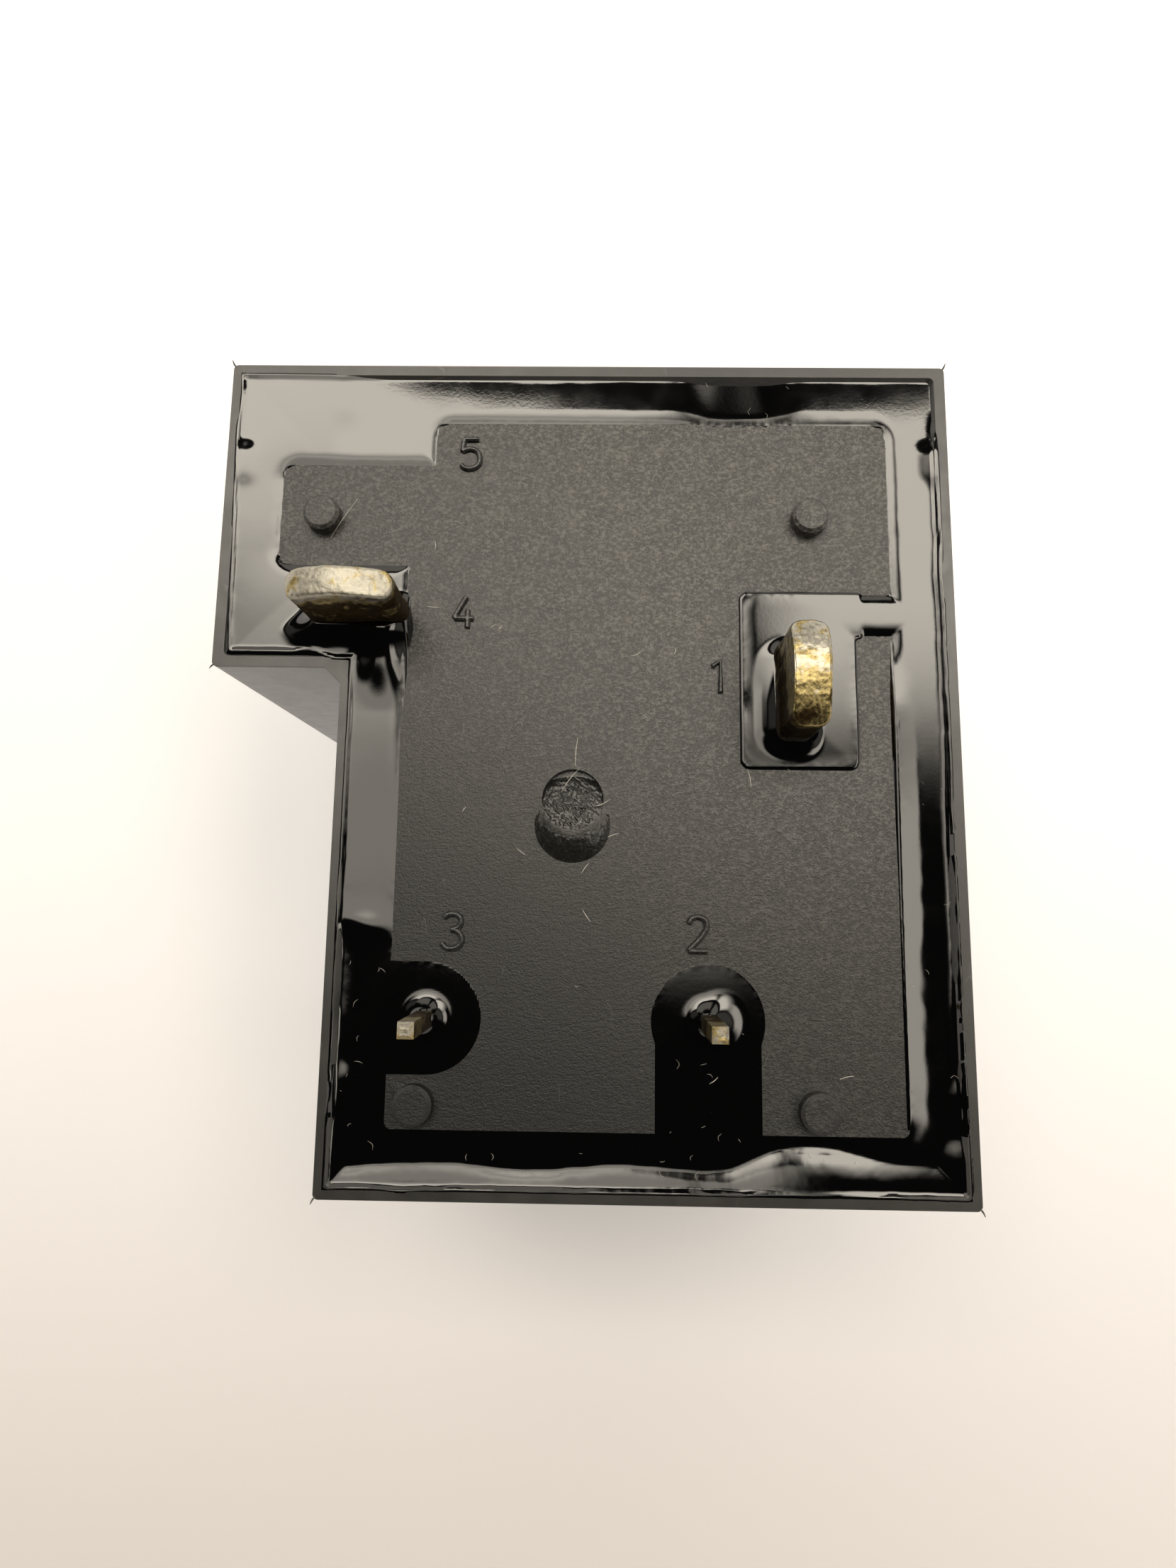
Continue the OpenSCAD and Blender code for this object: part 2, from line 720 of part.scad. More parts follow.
module fixed_contact() {
    color("#c9cbd0") translate([contact[0], contact[1], 0]) union() {
        translate([0, 0, z_fixed]) cylinder(d = contact_d, h = contact_t);
        translate([0, 0, z_flag - eps])
            cylinder(d = shank_d, h = open_t + 2 * eps);
        translate([0, 0, z_flag + open_t])
            cylinder(d = shank_d + 2 * head_t, h = head_t);
    }
}

// two through the contact blade, one through the return spring
module armature_rivets() {
    color("#b08d57") {
        for (s = [-1, 1]) translate([coil[0] + s * 2, coil[1] + 0.6, 0])
            rivet(z_leaf, shank_d + 2 * head_t, head_t, z_hinge - 0.15);
        translate([coil[0], spring_hold, 0])
            rivet(z_arm - return_t, shank_d + 2 * head_t, head_t,
                z_hinge - 0.15);
    }
}

// flat spring: lies on the armature, bends over and down the yoke's back
module return_spring() {
    bend = return_bend;
    color("#c7c9cc") difference() {
        translate([coil[0] + return_w / 2, 0, 0]) rotate([0, -90, 0])
            linear_extrude(return_w) union() {
                translate([z_arm - return_t, yoke_back - return_t + bend])
                    square([return_t, spring_hold + shank_d + 0.4
                        - yoke_back + return_t - bend]);
                translate([z_arm - return_t + bend, yoke_back - return_t])
                    square([spring_z + 1.6 - z_arm, return_t]);
                translate([z_arm - return_t + bend,
                    yoke_back - return_t + bend]) intersection() {
                    difference() {
                        circle(bend);
                        circle(bend - return_t);
                    }
                    translate([-bend, -bend]) square(bend);
                }
            }
        translate([coil[0], yoke_back - 2, spring_z]) rotate([-90, 0, 0])
            cylinder(d = shank_d + 2 * seat_fit, h = 3);
        translate([coil[0], spring_hold, 0])
            cylinder(d = shank_d + 2 * seat_fit, h = z_hinge);
    }
}

// holds the return spring on the back of the yoke
module spring_rivet() {
    color("#b08d57") translate([coil[0], yoke_back - return_t, spring_z])
        rotate([-90, 0, 0])
            rivet(0, shank_d + 2 * head_t, head_t,
                yoke_t + return_t - 0.1);
}

// flat copper braid from the common terminal to the contact blade
module copper_braid() {
    x_drop = common_face - 0.8 - braid_bend;
    color("#b5652a") translate([0, braid_y + braid_w, 0])
        rotate([90, 0, 0]) linear_extrude(braid_w) {
            translate([x_drop + braid_bend, z_weld - braid_t / 2])
                square([common_face - x_drop - braid_bend, braid_t]);
            translate([x_drop + braid_bend, z_weld - braid_bend])
                quarter_band(90);
            translate([x_drop - braid_t / 2, z_braid + braid_bend])
                square([braid_t, z_weld - z_braid - 2 * braid_bend]);
            translate([x_drop - braid_bend, z_braid + braid_bend])
                quarter_band(-90);
            translate([coil[0] + 1.2, z_arm])
                square([x_drop - braid_bend - coil[0] - 1.2, braid_t]);
        }
}

// quarter turn of the braid, starting at an angle
module quarter_band(from) {
    intersection() {
        difference() {
            circle(braid_bend + braid_t / 2);
            circle(braid_bend - braid_t / 2);
        }
        rotate(from) square(braid_bend * 2);
    }
}

cover();
base();
sealing_resin();
common_terminal();
open_terminal();
coil_pin_2();
coil_pin_3();
back_stop();
bobbin();
coil_winding();
coil_tape();
coil_leads();
core();
yoke();
armature();
contact_blade();
moving_contact();
fixed_contact();
armature_rivets();
return_spring();
spring_rivet();
copper_braid();
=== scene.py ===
import math
import random

import bpy
import numpy as np
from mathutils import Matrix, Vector, noise


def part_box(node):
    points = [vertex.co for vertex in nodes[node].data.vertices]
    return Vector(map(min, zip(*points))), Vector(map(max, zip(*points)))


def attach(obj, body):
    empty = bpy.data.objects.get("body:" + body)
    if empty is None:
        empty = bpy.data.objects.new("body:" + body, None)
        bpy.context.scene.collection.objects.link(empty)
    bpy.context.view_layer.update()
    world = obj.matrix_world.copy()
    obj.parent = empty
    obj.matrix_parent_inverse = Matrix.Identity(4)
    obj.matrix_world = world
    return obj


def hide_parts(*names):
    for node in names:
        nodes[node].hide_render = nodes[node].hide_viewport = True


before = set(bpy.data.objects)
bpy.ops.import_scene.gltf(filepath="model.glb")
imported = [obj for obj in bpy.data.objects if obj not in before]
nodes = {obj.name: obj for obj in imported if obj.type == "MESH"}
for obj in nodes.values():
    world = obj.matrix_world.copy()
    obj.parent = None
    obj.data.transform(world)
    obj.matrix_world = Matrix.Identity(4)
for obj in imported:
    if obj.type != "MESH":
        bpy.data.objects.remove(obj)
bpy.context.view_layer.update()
MM = 0.001

# ---- sizes, from the solids ----

case_low, case_high = (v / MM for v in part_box("cover"))
base_low, base_high = (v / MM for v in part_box("base"))
common_low, common_high = (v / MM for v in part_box("common_terminal"))
open_low, open_high = (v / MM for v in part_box("open_terminal"))
pin2_low, pin2_high = (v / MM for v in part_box("coil_pin_2"))
pin3_low, pin3_high = (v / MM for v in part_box("coil_pin_3"))

left, right = case_low.x, case_high.x
coil_side, contact_side = case_low.y, case_high.y
rim = case_high.z
tip = common_high.z
notch_x = left + 4.95            # left side of the coil end
notch_y = contact_side - 12.4    # near side of the wide contact end
plate = rim - 0.2                # top of the raised plate
level = rim - 0.255              # level of the poured resin
blade_foot = plate - 1.5         # where the coats of tin begin
pin_2 = (pin2_low + pin2_high) / 2
pin_3 = (pin3_low + pin3_high) / 2
common_half = 0.625              # half the thickness of blade 1
common = Vector((common_low.x + common_half,
                 (common_low.y + common_high.y) / 2))
open_half = 0.5                  # half the thickness of blade 4
opened = Vector((pin_3.x - 3.08, contact_side - 10.2))
blade_w = 3.7
blade_half = blade_w / 2

margin = 2.35                    # from the case's side to the raised plate
plate_left = left + 2.22
plate_right = right - margin
plate_top = contact_side - margin
plate_end = coil_side + margin
coil_left = notch_x + margin
step_x = plate_left + 6.0
step_y = plate_top - 1.78
lobe_edge = step_y - 4.14
pocket = (common.x - 1.83, common.y - 2.8, common.x + 2.37, common.y + 3.9)
vent = Vector(((pin_2.x + pin_3.x) / 2 + 0.1, pin_2.y + 7.04))
catches = [(-1, left, contact_side - 4.1), (1, right, contact_side - 4.0),
           (-1, notch_x, coil_side + 3.65), (1, right, coil_side + 3.35)]


# ---- bench tools ----

def deselect():
    if bpy.context.object and bpy.context.object.mode != "OBJECT":
        bpy.ops.object.mode_set(mode="OBJECT")
    bpy.ops.object.select_all(action="DESELECT")


def take(piece):
    deselect()
    bpy.context.view_layer.objects.active = piece
    piece.select_set(True)


def corners(piece):
    co = np.zeros(len(piece.data.vertices) * 3)
    piece.data.vertices.foreach_get("co", co)
    return co.reshape(-1, 3)


def set_corners(piece, co):
    piece.data.vertices.foreach_set("co", co.ravel())
    piece.data.update()


def pick(piece, kind, test):
    """Marks the faces, edges or vertices whose middle passes the test."""
    co = corners(piece)
    mesh = piece.data
    for part in (mesh.vertices, mesh.edges, mesh.polygons):
        part.foreach_set("select", np.zeros(len(part), bool))
    if kind == "VERT":
        mesh.vertices.foreach_set("select", test(co))
    elif kind == "EDGE":
        ends = np.zeros(len(mesh.edges) * 2, int)
        mesh.edges.foreach_get("vertices", ends)
        mesh.edges.foreach_set("select", test(co[ends.reshape(-1, 2)].mean(1)))
    else:
        mid = np.zeros(len(mesh.polygons) * 3)
        mesh.polygons.foreach_get("center", mid)
        mesh.polygons.foreach_set("select", test(mid.reshape(-1, 3)))
    bpy.context.tool_settings.mesh_select_mode = (
        kind == "VERT", kind == "EDGE", kind == "FACE")


def edit(piece, kind, test, *steps):
    take(piece)
    pick(piece, kind, test)
    bpy.ops.object.mode_set(mode="EDIT")
    for step in steps:
        step()
    bpy.ops.object.mode_set(mode="OBJECT")


def everywhere(co):
    return np.ones(len(co), bool)


def finish_modifier(piece, kind, **settings):
    take(piece)
    m = piece.modifiers.new(kind.lower(), kind)
    for key, value in settings.items():
        setattr(m, key, value)
    bpy.ops.object.modifier_apply(modifier=m.name)


def settle(piece, name, body="case", smooth=35, paint=None):
    """Names a finished piece, applies its place and lets it ride a body."""
    take(piece)
    bpy.ops.object.transform_apply(location=True, rotation=True, scale=True)
    if smooth:
        bpy.ops.object.shade_smooth_by_angle(angle=math.radians(smooth))
    piece.name = piece.data.name = name
    if paint:
        piece.data.materials.clear()
        piece.data.materials.append(paint)
    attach(piece, body)
    return piece


def merged_copy(node, name):
    """Copy of a solid with its loose triangles joined into whole faces."""
    deselect()
    piece = nodes[node].copy()
    piece.data = nodes[node].data.copy()
    piece.name = name
    bpy.context.scene.collection.objects.link(piece)
    piece.parent = None
    for key in [k for k in piece.keys() if k.startswith("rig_")]:
        del piece[key]
    edit(piece, "VERT", everywhere,
         lambda: bpy.ops.mesh.remove_doubles(threshold=2e-6),
         lambda: bpy.ops.mesh.dissolve_limited(angle_limit=math.radians(0.5)))
    return piece


def soften_edges(piece, width, angle=40):
    """Breaks the sharp edges and keeps the flat faces flat in the light."""
    finish_modifier(piece, "BEVEL", width=width * MM, segments=2,
                    limit_method="ANGLE", angle_limit=math.radians(angle))
    bpy.ops.object.shade_smooth_by_angle(angle=math.radians(50))
    finish_modifier(piece, "WEIGHTED_NORMAL", weight=100, keep_sharp=True)


def box_distance(p, x0, y0, x1, y1, r=0.0):
    qx = abs(p[:, 0] - (x0 + x1) / 2) - (x1 - x0) / 2 + r
    qy = abs(p[:, 1] - (y0 + y1) / 2) - (y1 - y0) / 2 + r
    return (np.hypot(np.maximum(qx, 0), np.maximum(qy, 0))
            + np.minimum(np.maximum(qx, qy), 0) - r)


def round_distance(p, centre, r):
    return np.hypot(p[:, 0] - centre[0], p[:, 1] - centre[1]) - r


def ramp(v, start, end):
    """Smooth step from 0 at start to 1 at end."""
    t = np.clip((v - start) / (end - start), 0, 1)
    return t * t * (3 - 2 * t)


def towards(p, centre, x, y):
    """1 on the side of the centre that the direction points to, else less."""
    out = p[:, :2] - (centre.x, centre.y)
    return ramp(out @ (x, y) / np.maximum(np.hypot(*out.T), 1e-6), -0.3, 0.85)


def waves(p, long, short, seed, count=24):
    """Smooth random unevenness, about -1 to 1, between two wavelengths."""
    pick_from = random.Random(seed)
    out = np.zeros(len(p))
    for _ in range(count):
        length = math.exp(pick_from.uniform(math.log(short), math.log(long)))
        turn = pick_from.uniform(0, math.tau)
        out += np.sin((p[:, 0] * math.cos(turn) + p[:, 1] * math.sin(turn))
                      * math.tau / length + pick_from.uniform(0, math.tau))
    return out / math.sqrt(count)


# ---- finishes ----

class Finish:
    """A material and the nodes that build it up."""

    def __init__(self, name, **sockets):
        self.m = bpy.data.materials.new(name)
        self.m.use_nodes = True
        self.tree = self.m.node_tree
        self.shader = self.tree.nodes["Principled BSDF"]
        for key, value in sockets.items():
            self.shader.inputs[key.replace("_", " ")].default_value = value
        self.place = self.add("ShaderNodeTexCoord").outputs["Object"]

    def add(self, kind, inputs=(), **settings):
        n = self.tree.nodes.new(kind)
        for key, value in settings.items():
            setattr(n, key, value)
        for key, value in dict(inputs).items():
            if isinstance(value, bpy.types.NodeSocket):
                self.tree.links.new(value, n.inputs[key])
            else:
                n.inputs[key].default_value = value
        return n

    def stretch(self, x=1.0, y=1.0, z=1.0, turn=0.0):
        """Object coordinates in millimetres, stretched and turned."""
        return self.add("ShaderNodeMapping", {
            "Vector": self.place, "Scale": (x / MM, y / MM, z / MM),
            "Rotation": (0, 0, turn)}).outputs[0]

    def noise(self, scale, detail=3.0, rough=0.55, at=None, warp=0.0):
        return self.add("ShaderNodeTexNoise", {
            "Vector": at or self.stretch(), "Scale": scale, "Detail": detail,
            "Roughness": rough, "Distortion": warp}).outputs["Fac"]

    def cells(self, scale, at=None, feature="F1", out="Distance"):
        return self.add("ShaderNodeTexVoronoi", {
            "Vector": at or self.stretch(), "Scale": scale},
            feature=feature).outputs[out]

    def between(self, value, low, high, to_low=0.0, to_high=1.0, soft=True):
        return self.add("ShaderNodeMapRange", {
            "Value": value, "From Min": low, "From Max": high,
            "To Min": to_low, "To Max": to_high},
            interpolation_type="SMOOTHSTEP" if soft else "LINEAR",
            clamp=True).outputs[0]

    def sum(self, a, b, how="ADD"):
        n = self.add("ShaderNodeMath", operation=how)
        for i, v in enumerate((a, b)):
            if isinstance(v, bpy.types.NodeSocket):
                self.tree.links.new(v, n.inputs[i])
            else:
                n.inputs[i].default_value = v
        return n.outputs[0]

    def colours(self, value, *stops):
        n = self.add("ShaderNodeValToRGB", {"Fac": value})
        ramp = n.color_ramp
        while len(ramp.elements) < len(stops):
            ramp.elements.new(0.5)
        for element, (at, colour) in zip(ramp.elements, stops):
            element.position = at
            element.color = (*colour, 1)
        return n.outputs[0]

    def mix(self, value, a, b):
        n = self.add("ShaderNodeMix", data_type="RGBA")
        for key, v in ((0, value), (6, a), (7, b)):
            if isinstance(v, bpy.types.NodeSocket):
                self.tree.links.new(v, n.inputs[key])
            else:
                n.inputs[key].default_value = v if key == 0 else (*v, 1)
        return n.outputs[2]

    def along(self, axis):
        n = self.add("ShaderNodeSeparateXYZ", {"Vector": self.stretch()})
        return n.outputs[axis]

    def set(self, key, value):
        self.tree.links.new(value, self.shader.inputs[key])
        return self

    def bump(self, *layers):
        """Layers are (height, strength, depth in millimetres)."""
        last = None
        for height, strength, depth in layers:
            n = self.add("ShaderNodeBump", {
                "Height": height, "Strength": strength,
                "Distance": depth * MM})
            if last:
                self.tree.links.new(last, n.inputs["Normal"])
            last = n.outputs[0]
        self.tree.links.new(last, self.shader.inputs["Normal"])
        return self


def scratches(f, scale, turn, thin=0.02):
    """Sparse fine straight lines in one direction."""
    lines = f.cells(scale, f.stretch(1, 0.3, 1, turn), "DISTANCE_TO_EDGE")
    here = f.between(f.noise(0.9, 2, at=f.stretch(1, 0.6, 1, turn)),
                     0.62, 0.7)
    return f.sum(f.between(lines, 0.0, thin, 1, 0), here, "MULTIPLY")


def grained_plastic():
    """Spark-eroded face of the base, dull black with a fine grain, and painted
    shade darker towards the coil end and the left.
    """
    f = Finish("grained_plastic", IOR=1.5)
    grain = f.noise(1.0, 4, 0.75, at=f.stretch(6.5, 9, 7))
    fine = f.noise(14, 2, 0.6)
    marks = scratches(f, 1.5, 0.9)
    specks = f.between(f.cells(2.6), 0.0, 0.05, 1, 0)
    tone = f.mix(f.between(f.noise(1.1, 4), 0.3, 0.75),
                 (0.008, 0.0078, 0.007), (0.022, 0.021, 0.0195))
    tone = f.mix(f.between(grain, 0.46, 0.64, 0, 0.8), tone,
                 (0.165, 0.157, 0.145))
    tone = f.mix(f.between(fine, 0.5, 0.66, 0, 0.5), tone,
                 (0.14, 0.135, 0.122))
    # painted shade: the face is painted darker towards the coil end and the
    # left side, where less window light falls
    wear_and_shade = f.sum(f.between(f.along("Y"), coil_side + 3, contact_side - 5,
                           0.8, 0),
                 f.between(f.along("X"), left + 4, right - 4, 0.34, -0.12),
                 "ADD")
    tone = f.mix(f.between(wear_and_shade, 0, 1), tone, (0.005, 0.0049, 0.0045))
    tone = f.mix(f.sum(f.sum(marks, specks, "MAXIMUM"), 0.25, "MULTIPLY"),
                 tone, (0.2, 0.19, 0.175))
    f.set("Base Color", tone)
    f.set("Roughness", f.between(grain, 0.3, 0.7, 0.33, 0.42))
    f.bump((f.noise(0.25, 2), 0.12, 0.1), (grain, 0.55, 0.035),
           (fine, 0.6, 0.018))
    return f.m


def worn_plastic():
    """Raised figures of the base, a little glossier than its face."""
    f = Finish("worn_plastic", IOR=1.5)
    grain = f.noise(9, 3, 0.6)
    f.set("Base Color", f.mix(grain, (0.004, 0.004, 0.0036),
                              (0.02, 0.0195, 0.018)))
    f.set("Roughness", f.between(grain, 0.35, 0.7, 0.16, 0.32))
    f.bump((grain, 0.5, 0.03))
    return f.m


def case_plastic():
    """Moulded case, satin rim and smoother walls with handling marks."""
    f = Finish("case_plastic", IOR=1.6)
    grain = f.noise(9, 3, 0.65)
    marks = f.sum(scratches(f, 0.9, 0.15), scratches(f, 1.2, 1.2), "MAXIMUM")
    tone = f.mix(f.between(f.noise(0.5, 4), 0.3, 0.7),
                 (0.02, 0.0195, 0.018), (0.03, 0.029, 0.027))
    f.set("Base Color", f.mix(f.sum(marks, 0.4, "MULTIPLY"), tone,
                              (0.12, 0.115, 0.11)))
    walls = f.between(f.noise(1.4, 4), 0.3, 0.7, 0.16, 0.23)
    land_above = f.between(f.along("Z"), rim - 0.25, rim - 0.05, 0, 0.16)
    f.set("Roughness", f.sum(walls, land_above, "ADD"))
    f.bump((f.noise(0.35, 2), 0.15, 0.1), (grain, 0.25, 0.015))
    return f.m


def poured_epoxy():
    """Glossy black sealing resin with dust settled on it."""
    f = Finish("poured_epoxy", IOR=1.62)
    dust = f.between(f.cells(3.3), 0.0, 0.035, 1, 0)
    some = f.between(f.noise(0.6, 2), 0.5, 0.7)
    dirt = f.sum(dust, some, "MULTIPLY")
    f.set("Base Color", f.mix(f.sum(dirt, 0.5, "MULTIPLY"),
                              (0.0008, 0.0008, 0.0009), (0.25, 0.24, 0.22)))
    f.set("Roughness", f.between(f.noise(0.8, 5, 0.6), 0.3, 0.8, 0.04, 0.08))
    f.bump((f.noise(7, 3, 0.6), 0.2, 0.003))
    return f.m


def tinned_brass(name, dark_reflection_below, bare=0.0, dull=0.5, fall=None):
    """Dip-tinned brass: bare shows more brass, flux stains the deepest
    patches, and the root is painted darker, a painted reflection of the dark
    resin.

    fall is the stretch along Y over which the tin is painted darker towards
    the near end, a painted reflection of the dark camera side."""
    f = Finish(name, Metallic=1.0)
    patches = f.noise(1.7, 5, 0.62, warp=0.5)
    fine = f.noise(6.5, 4, 0.65)
    flakes = f.cells(4.2)
    tin = f.colours(fine, (0.25, (0.24, 0.225, 0.185)),
                    (0.62, (0.42, 0.395, 0.33)))
    brass = f.colours(fine, (0.22, (0.085, 0.058, 0.017)),
                      (0.66, (0.46, 0.37, 0.17)))
    # darkest brown: flux stains in the deepest patches, and painted reflection
    # at the root and the near end
    flux_and_reflection = f.colours(fine, (0.3, (0.012, 0.008, 0.004)),
                     (0.75, (0.085, 0.058, 0.024)))
    # painted reflection: below this height the blade is painted darker and
    # browner, standing for the dark resin it reflects
    low = f.between(f.along("Z"), dark_reflection_below - 0.9, dark_reflection_below, 0.34, 0)
    wear_and_shade = f.sum(patches, low, "ADD")
    # painted reflection: with fall, the blade is painted darker towards its
    # near (-Y) end
    if fall:
        wear_and_shade = f.sum(wear_and_shade, f.between(f.along("Y"), *fall), "ADD")
    tone = f.mix(f.between(wear_and_shade, 0.52 - bare, 0.66 - bare), tin, brass)
    tone = f.mix(f.between(wear_and_shade, 0.66, 0.78), tone, flux_and_reflection)
    f.set("Base Color", tone)
    polish = f.between(fine, 0.3, 0.8, dull - 0.1, dull + 0.08)
    f.set("Roughness",
          f.sum(polish, f.between(wear_and_shade, 0.6, 0.85, 0, 0.16), "ADD"))
    f.bump((patches, 0.3, 0.1), (flakes, 0.22, 0.04), (fine, 0.4, 0.025))
    return f.m


def plain_metal(name, dark, light, rough, turn=(1, 12, 12), spots=None):
    """Rolled or plated strip with a fine drawn grain."""
    f = Finish(name, Metallic=1.0)
    drawn = f.noise(2.2, 4, at=f.stretch(*turn))
    tone = f.colours(drawn, (0.3, dark), (0.7, light))
    if spots:
        tone = f.mix(f.between(f.noise(1.2, 4), 0.52, 0.68), tone, spots)
    f.set("Base Color", tone)
    f.set("Roughness", f.between(drawn, 0.3, 0.7, rough, rough + 0.16))
    f.bump((drawn, 0.2, 0.01))
    return f.m


def wound_wire():
    """Enamelled copper wire in close turns."""
    f = Finish("wound_wire", Metallic=1.0)
    turns = f.add("ShaderNodeTexWave", {
        "Vector": f.stretch(), "Scale": 1.6, "Distortion": 0.15,
        "Detail": 1.0}, bands_direction="Z").outputs["Fac"]
    tone = f.colours(turns, (0.1, (0.09, 0.02, 0.006)),
                     (0.8, (0.62, 0.24, 0.09)))
    f.set("Base Color", tone)
    f.set("Roughness", f.between(f.noise(2, 2), 0.3, 0.7, 0.22, 0.36))
    f.bump((turns, 0.9, 0.08))
    return f.m


def moulded_nylon(name, dark, light):
    f = Finish(name, IOR=1.53)
    f.set("Base Color", f.mix(f.between(f.noise(0.8, 4), 0.3, 0.7),
                              dark, light))
    f.set("Roughness", f.between(f.noise(3, 3), 0.3, 0.7, 0.38, 0.5))
    f.bump((f.noise(8, 3), 0.2, 0.02))
    return f.m


def woven_copper():
    """Flat braid of fine copper strands."""
    f = Finish("woven_copper", Metallic=1.0)
    one = f.add("ShaderNodeTexWave", {
        "Vector": f.stretch(), "Scale": 1.5, "Distortion": 0.3},
        bands_direction="DIAGONAL").outputs["Fac"]
    other = f.add("ShaderNodeTexWave", {
        "Vector": f.stretch(-1, 1, 1), "Scale": 1.5, "Distortion": 0.3},
        bands_direction="DIAGONAL").outputs["Fac"]
    weave = f.sum(one, other, "MAXIMUM")
    f.set("Base Color", f.colours(weave, (0.35, (0.12, 0.035, 0.012)),
                                  (0.9, (0.78, 0.36, 0.18))))
    f.set("Roughness", f.between(f.noise(5, 2), 0.3, 0.7, 0.3, 0.45))
    f.bump((weave, 0.9, 0.08))
    return f.m


def floor_paper():
    """Pale sheet that the part lies on, whiter away from the viewer."""
    f = Finish("floor_paper", Roughness=0.9)
    f.shader.inputs["Specular IOR Level"].default_value = 0.1
    y = f.along("Y")
    x = f.along("X")
    fibres = f.between(f.noise(0.35, 5, 0.6), 0.3, 0.7, 0.0, 1.0)
    tone = f.mix(f.between(y, -48, 30), (0.6, 0.56, 0.54), (0.74, 0.73, 0.73))
    tone = f.mix(f.sum(fibres, 0.04, "MULTIPLY"), tone, (0.6, 0.57, 0.54))
    f.set("Base Color", tone)
    f.bump((f.noise(1.6, 4), 0.08, 0.05))
    glow = f.sum(f.between(y, -60, 14, 0.1, 0.42),
                 f.between(x, -5, 45, 0, 0.1), "ADD")
    far = f.between(f.add("ShaderNodeVectorMath", {0: f.stretch()},
                          operation="LENGTH").outputs["Value"],
                    70, 330, 0, 0.45)
    path = f.add("ShaderNodeLightPath").outputs
    seen = f.sum(path["Is Camera Ray"], path["Is Glossy Ray"], "MAXIMUM")
    seen = f.sum(seen, path["Is Transmission Ray"], "MAXIMUM")
    f.shader.inputs["Emission Color"].default_value = (1.0, 0.97, 0.93, 1)
    f.set("Emission Strength", f.sum(f.sum(glow, far, "ADD"), seen,
                                     "MULTIPLY"))
    return f.m


base_black = grained_plastic()
case_black = case_plastic()
epoxy = poured_epoxy()
figure_black = worn_plastic()
blade_tin = tinned_brass("blade_tin", tip - 0.3)
blade_gold = tinned_brass("blade_gold", tip - 0.55, 0.13, 0.38,
                          (common.y - 1.9, common.y + 0.6, 0.2, -0.05))
pin_gold = tinned_brass("pin_gold", tip - 0.9, 0.12, 0.42)


# ---- camera ----

camera = bpy.data.objects.new("camera", bpy.data.cameras.new("camera"))
bpy.context.scene.collection.objects.link(camera)
camera.data.sensor_fit = "HORIZONTAL"
camera.data.sensor_width = 36
camera.data.lens = 26.79
camera.data.clip_start = 0.002
camera.location = (0.746 * MM, -5.556 * MM, 52.103 * MM)
camera.rotation_euler = tuple(math.radians(a) for a in (8.081, 0.733, 0.780))
bpy.context.scene.camera = camera


# ---- lamps, floor and world ----

def window(name, centre, size, height, power, turn, fade):
    """Soft overhead window: centre and size are slopes seen from the part.

    fade has (axis, dark at, full at) for each edge that softens."""
    lamp = bpy.data.lights.new(name, "AREA")
    lamp.shape = "RECTANGLE"
    lamp.size, lamp.size_y = size[0] * height, size[1] * height
    lamp.energy = power * math.pi * lamp.size * lamp.size_y
    lamp.color = (1.0, 0.925, 0.8)
    lamp.use_nodes = True
    tree = lamp.node_tree
    spot = tree.nodes.new("ShaderNodeNewGeometry")
    split = tree.nodes.new("ShaderNodeSeparateXYZ")
    tree.links.new(spot.outputs["Parametric"], split.inputs[0])
    last = None
    for axis, low, high in fade:
        edge = tree.nodes.new("ShaderNodeMapRange")
        edge.interpolation_type = "SMOOTHSTEP"
        edge.inputs["From Min"].default_value = low
        edge.inputs["From Max"].default_value = high
        tree.links.new(split.outputs[axis], edge.inputs["Value"])
        result = edge.outputs[0]
        if last:
            both = tree.nodes.new("ShaderNodeMath")
            both.operation = "MULTIPLY"
            tree.links.new(last, both.inputs[0])
            tree.links.new(result, both.inputs[1])
            result = both.outputs[0]
        last = result
    tree.links.new(last, tree.nodes["Emission"].inputs["Strength"])
    holder = bpy.data.objects.new(name, lamp)
    bpy.context.scene.collection.objects.link(holder)
    holder.location = (centre[0] * height, centre[1] * height, height)
    holder.rotation_euler = (0, 0, math.radians(turn))


window("window_left", (-0.20, 0.375), (0.98, 0.52), 0.6, 8.6, -10,
       [("X", 0, 0.1), ("X", 0.87, 0.72), ("Y", 1, 0.97), ("Y", 0, 0.82)])
window("window_left_low", (-0.12, 0.11), (0.76, 0.40), 0.604, 3.0, -8,
       [("X", 0, 0.2), ("X", 1, 0.75), ("Y", 1, 0.8), ("Y", 0, 0.3)])
window("window_right", (0.48, 0.352), (0.66, 0.56), 0.608, 8.2, 5,
       [("X", 0, 0.18), ("X", 1, 0.75), ("Y", 1, 0.96), ("Y", 0, 0.55)])
window("window_right_low", (0.65, -0.08), (0.40, 0.66), 0.612, 4.6, 0,
       [("X", 0, 0.2), ("X", 1, 0.7), ("Y", 0, 0.3), ("Y", 1, 0.7)])
window("bounce_far", (-0.5, 1.2), (1.16, 0.9), 0.616, 1.4, 0,
       [("X", 0, 0.3), ("X", 1, 0.9), ("Y", 0, 0.05), ("Y", 1, 0.6)])
window("bounce_far_right", (0.56, 1.2), (0.8, 0.9), 0.628, 1.4, 0,
       [("X", 0, 0.12), ("X", 1, 0.7), ("Y", 0, 0.05), ("Y", 1, 0.6)])
window("bounce_left", (-1.05, 0.45), (0.7, 0.8), 0.62, 0.3, 0,
       [("X", 0, 0.3), ("X", 1, 0.8), ("Y", 0, 0.3)])
window("bounce_right", (1.15, 0.1), (0.7, 1.2), 0.624, 0.5, 0,
       [("X", 0, 0.2), ("X", 1, 0.8), ("Y", 0, 0.3)])

